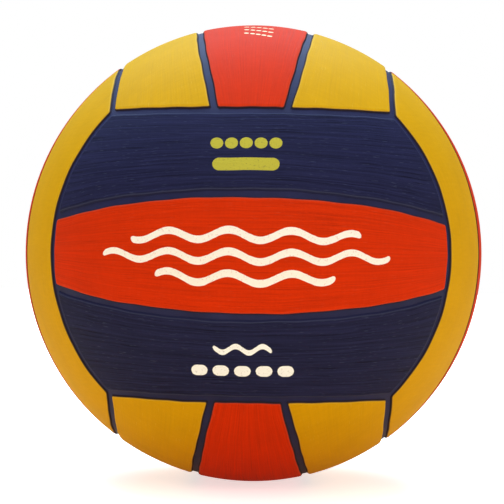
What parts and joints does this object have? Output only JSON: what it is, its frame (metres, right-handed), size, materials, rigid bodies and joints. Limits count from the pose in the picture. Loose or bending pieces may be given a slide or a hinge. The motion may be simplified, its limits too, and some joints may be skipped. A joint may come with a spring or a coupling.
{
  "type": "water polo ball",
  "caption": "Round rubber ball with raised strip panels in groups that run at right angles, recessed seams and a flush needle valve.",
  "frame": {"origin": "centre of the ball", "axes": "+Z along the valve's axis, out through the valve; -Y out through the front group of panels, whose strips run along X; +X to the right of someone who looks at the front group"},
  "size_m": [0.22, 0.22, 0.2199],
  "materials": {
    "red_panel_rubber": "moulded rubber with a fine lined grip, satin",
    "yellow_panel_rubber": "moulded rubber with a fine lined grip, satin",
    "navy_panel_rubber": "moulded rubber with a fine lined grip, satin",
    "cover_rubber": "smooth moulded rubber, satin",
    "bladder_rubber": "smooth butyl rubber, dull",
    "valve_rubber": "smooth moulded rubber, satin",
    "winding_yarn": "wound nylon yarn, matte"
  },
  "bodies": {
    "root": {"bladder": "bladder_rubber", "valve_patch": "bladder_rubber", "valve_seat": "valve_rubber", "valve_core": "valve_rubber", "nylon_winding": "winding_yarn", "base_cover": "cover_rubber", "front_upper_panel": "navy_panel_rubber", "front_middle_panel": "red_panel_rubber", "front_lower_panel": "navy_panel_rubber", "back_upper_panel": "navy_panel_rubber", "back_middle_panel": "red_panel_rubber", "back_lower_panel": "navy_panel_rubber", "left_front_panel": "yellow_panel_rubber", "left_middle_panel": "red_panel_rubber", "left_back_panel": "yellow_panel_rubber", "right_front_panel": "yellow_panel_rubber", "right_middle_panel": "red_panel_rubber", "right_back_panel": "yellow_panel_rubber", "top_left_panel": "yellow_panel_rubber", "top_middle_panel": "red_panel_rubber", "top_right_panel": "yellow_panel_rubber", "bottom_left_panel": "yellow_panel_rubber", "bottom_middle_panel": "red_panel_rubber", "bottom_right_panel": "yellow_panel_rubber"}
  },
  "joints": []
}
